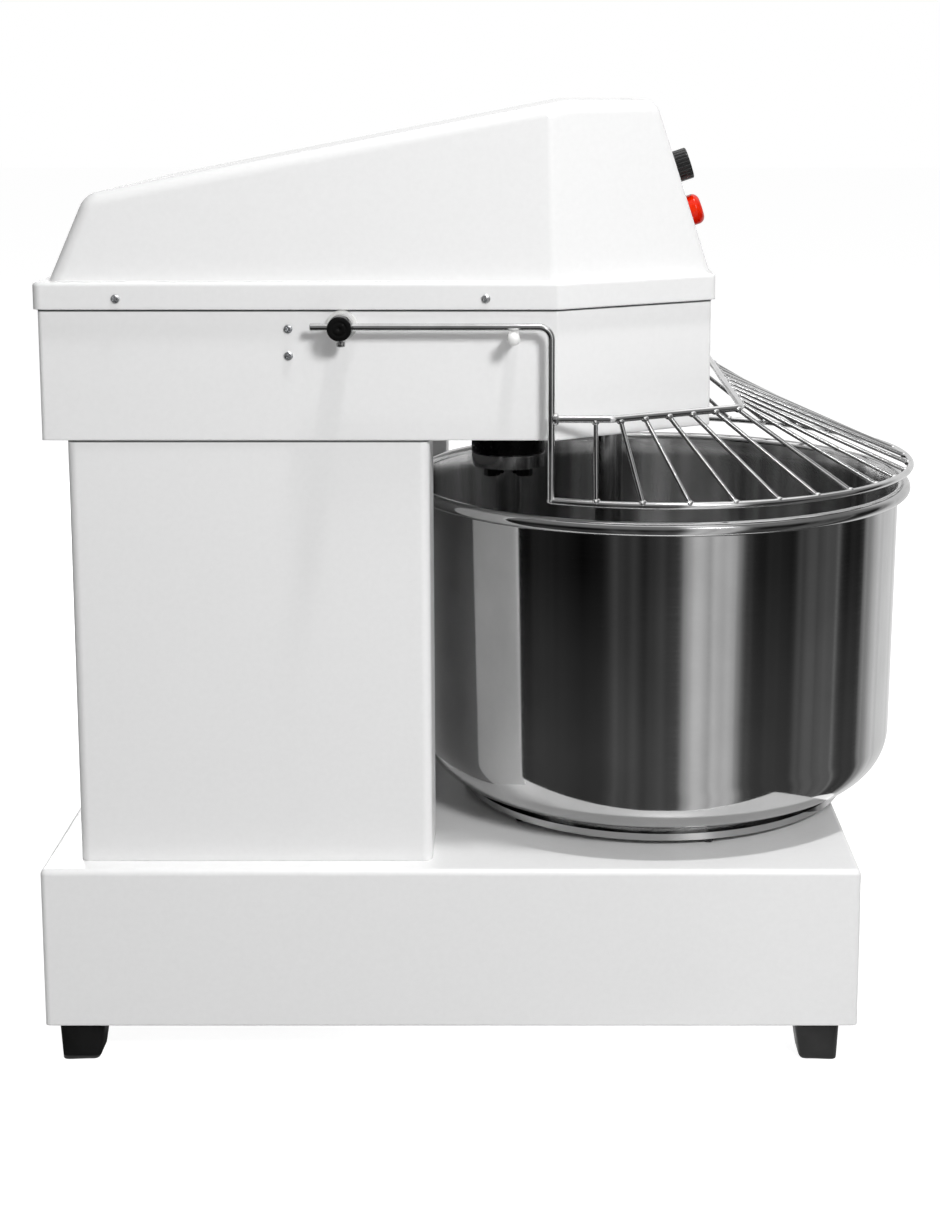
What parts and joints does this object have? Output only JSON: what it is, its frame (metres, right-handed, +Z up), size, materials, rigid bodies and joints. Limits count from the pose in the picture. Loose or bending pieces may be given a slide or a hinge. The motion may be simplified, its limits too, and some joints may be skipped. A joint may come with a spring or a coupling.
{
  "type": "spiral dough mixer",
  "caption": "Floor-standing spiral dough mixer with a boxy base and column, a sloping head cover, a steel bowl, a spiral arm, a breaker bar and a hinged wire bowl guard.",
  "frame": {"origin": "centre of the bounding box in plan, on the floor under the feet", "axes": "+X to the front (bowl and controls), +Y to the operator's right, +Z up"},
  "size_m": [0.763, 0.49, 0.811],
  "materials": {
    "white_paint": "gloss",
    "white_cover": "gloss",
    "white_plastic": "satin",
    "stainless": "polished",
    "chrome": "polished",
    "black_rubber": "matte",
    "black_metal": "satin",
    "black_plastic": "satin",
    "red_plastic": "gloss",
    "grey_paint": "satin",
    "cast": "machined",
    "zinc": "zinc plated",
    "steel": "ground"
  },
  "bodies": {
    "frame": {"base_shell": "white_paint", "base_bottom_plate": "zinc", "foot_front_left": "black_rubber", "foot_front_right": "black_rubber", "foot_rear_left": "black_rubber", "foot_rear_right": "black_rubber", "foot_bolts": "zinc", "column_shell": "white_paint", "column_rear_panel": "white_paint", "cable_gland": "black_plastic", "head_casing": "white_paint", "head_cover": "white_cover", "panel_screws": "zinc", "frame_bolts": "zinc", "spiral_bearing_housing": "black_metal", "spiral_bearing_lower": "steel", "spiral_bearing_upper": "steel", "motor": "grey_paint", "breaker_bar": "stainless", "breaker_bar_nut": "zinc", "spiral_belt": "black_rubber", "guard_bush_left": "white_plastic", "guard_bush_right": "white_plastic", "rest_peg_left": "white_plastic", "rest_peg_right": "white_plastic", "guard_switch": "black_plastic", "selector_body": "black_plastic", "stop_button_body": "black_plastic", "bowl_bearing_housing": "black_metal", "bowl_bearing_upper": "steel", "bowl_bearing_lower": "steel", "bowl_gearmotor": "grey_paint", "bowl_belt": "black_rubber"},
    "bowl": {"bowl": "stainless", "bowl_foot_ring": "stainless", "bowl_ring_screws": "zinc", "bowl_shaft": "steel", "bowl_bolts": "zinc", "bowl_pulley": "cast"},
    "spiral": {"spiral_hook": "stainless", "spiral_flange_bolts": "black_metal", "spiral_shaft": "steel", "spiral_pulley": "cast"},
    "motor_rotor": {"motor_shaft": "steel", "motor_pulley": "cast"},
    "bowl_drive": {"gearmotor_shaft": "steel", "gearmotor_pulley": "cast"},
    "guard": {"guard_shaft": "chrome", "guard_cap_left": "black_plastic", "guard_cap_right": "black_plastic", "guard_set_screws": "zinc", "guard_arm_left": "chrome", "guard_arm_right": "chrome", "guard_outer_ring": "chrome", "guard_inner_rod": "chrome", "guard_bars": "chrome", "guard_magnet": "steel"},
    "selector": {"selector_knob": "black_plastic"},
    "stop": {"stop_button": "red_plastic"}
  },
  "joints": [
    {"name": "bowl_spin", "type": "hinge", "parent": "frame", "child": "bowl", "pos_m": [0.146, 0, 0.19], "axis": [0, 0, 1], "continuous": true},
    {"name": "bowl_drive_spin", "type": "hinge", "parent": "frame", "child": "bowl_drive", "pos_m": [-0.2, 0, 0.09], "axis": [0, 0, 1], "continuous": true},
    {"name": "spiral_spin", "type": "hinge", "parent": "frame", "child": "spiral", "pos_m": [0.01, 0, 0.5], "axis": [0, 0, 1], "continuous": true},
    {"name": "motor_spin", "type": "hinge", "parent": "frame", "child": "motor_rotor", "pos_m": [-0.225, 0, 0.57], "axis": [0, 0, 1], "continuous": true},
    {"name": "guard_lift", "type": "hinge", "parent": "frame", "child": "guard", "pos_m": [-0.123, 0, 0.63], "axis": [0, -1, 0], "range_deg": [0, 70]},
    {"name": "selector_turn", "type": "hinge", "parent": "frame", "child": "selector", "pos_m": [0.15623, 0, 0.74801], "axis": [0.9494, 0, 0.314], "range_deg": [-45, 45]},
    {"name": "stop_press", "type": "slide", "parent": "frame", "child": "stop", "axis": [-0.9494, 0, -0.314], "range_m": [0, 0.004], "stiffness_N_per_m": 1000}
  ],
  "couplings": [
    {"joint": "bowl_drive_spin", "follows": "bowl_spin", "ratio": 3.3333},
    {"joint": "motor_spin", "follows": "spiral_spin", "ratio": 5}
  ]
}
